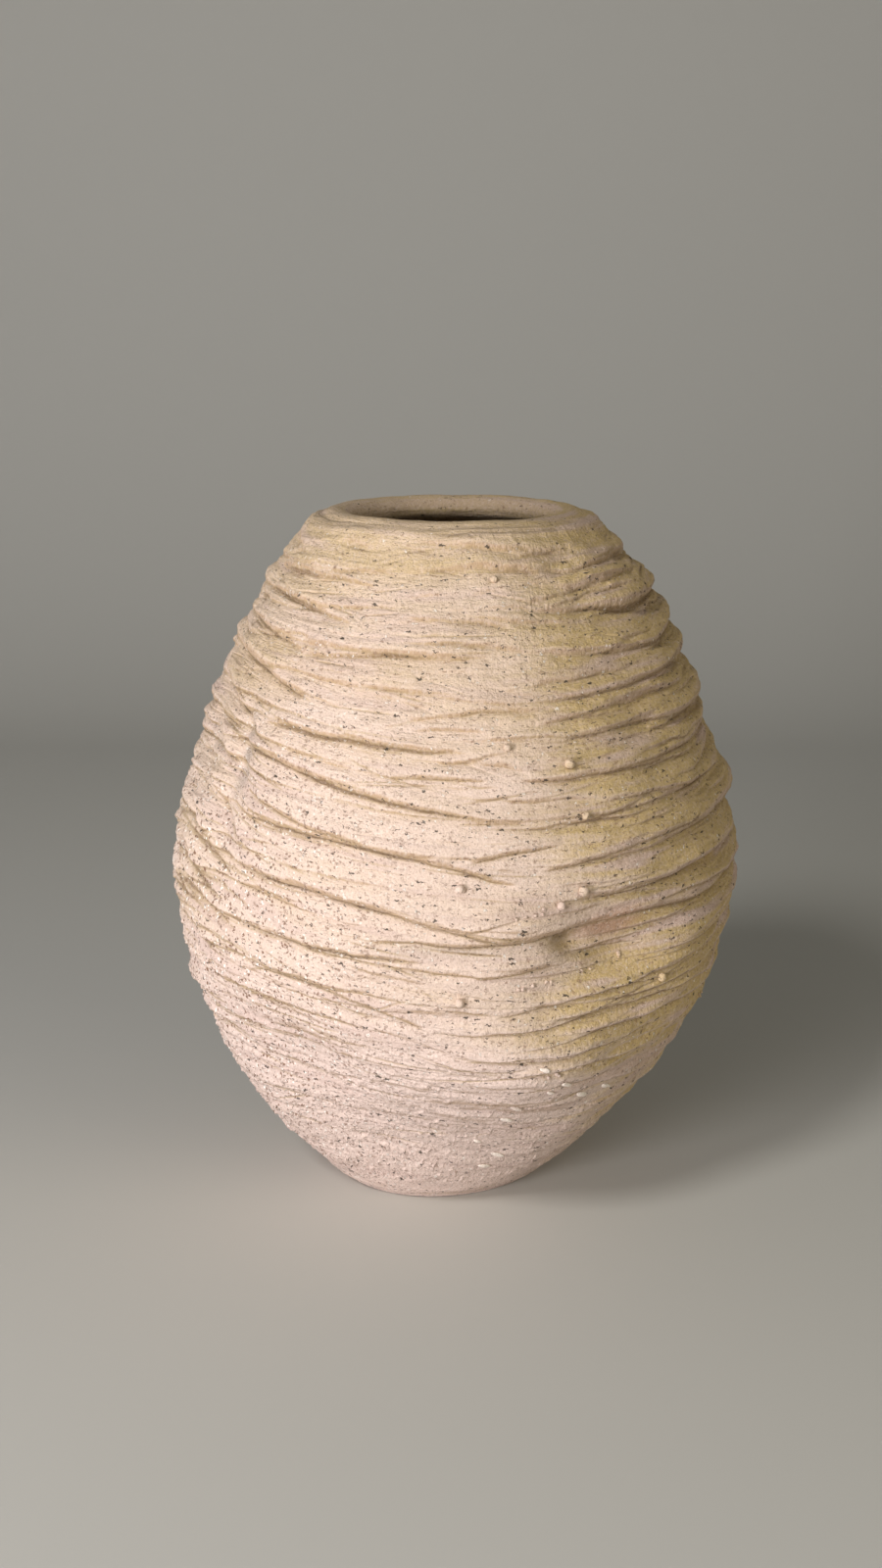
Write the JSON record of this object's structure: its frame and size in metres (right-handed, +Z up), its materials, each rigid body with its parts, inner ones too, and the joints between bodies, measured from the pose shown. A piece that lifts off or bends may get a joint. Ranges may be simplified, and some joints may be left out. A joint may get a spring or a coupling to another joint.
{
  "type": "stoneware vase",
  "caption": "Hand-built egg-shaped stoneware vase with a small flat foot, lapped clay coils, pressed hollows and a rolled open lip, for standing on a table",
  "frame": {"origin": "centre of the flat foot, on the surface that the vase stands on", "axes": "+Z up out of the mouth, -Y toward the side with the deep thumb press, +X to the right seen from that side"},
  "size_m": [0.2619, 0.2638, 0.32],
  "materials": {
    "foot_clay": "matte unglazed stoneware, pinkish beige with dark grog specks",
    "wall_clay": "matte unglazed stoneware, pinkish beige with an ochre wash and dark grog specks",
    "lip_clay": "matte unglazed stoneware, ochre beige, smoother",
    "pellet_clay": "matte unglazed stoneware crumbs"
  },
  "bodies": {
    "root": {"base_slab": "foot_clay", "wall_coil_01": "wall_clay", "wall_coil_02": "wall_clay", "wall_coil_03": "wall_clay", "wall_coil_04": "wall_clay", "wall_coil_05": "wall_clay", "wall_coil_06": "wall_clay", "wall_coil_07": "wall_clay", "wall_coil_08": "wall_clay", "wall_coil_09": "wall_clay", "wall_coil_10": "wall_clay", "wall_coil_11": "wall_clay", "wall_coil_12": "wall_clay", "wall_coil_13": "wall_clay", "wall_coil_14": "wall_clay", "wall_coil_15": "wall_clay", "wall_coil_16": "wall_clay", "wall_coil_17": "wall_clay", "wall_coil_18": "wall_clay", "rim_coil": "lip_clay", "clay_pellets": "pellet_clay"}
  },
  "joints": []
}
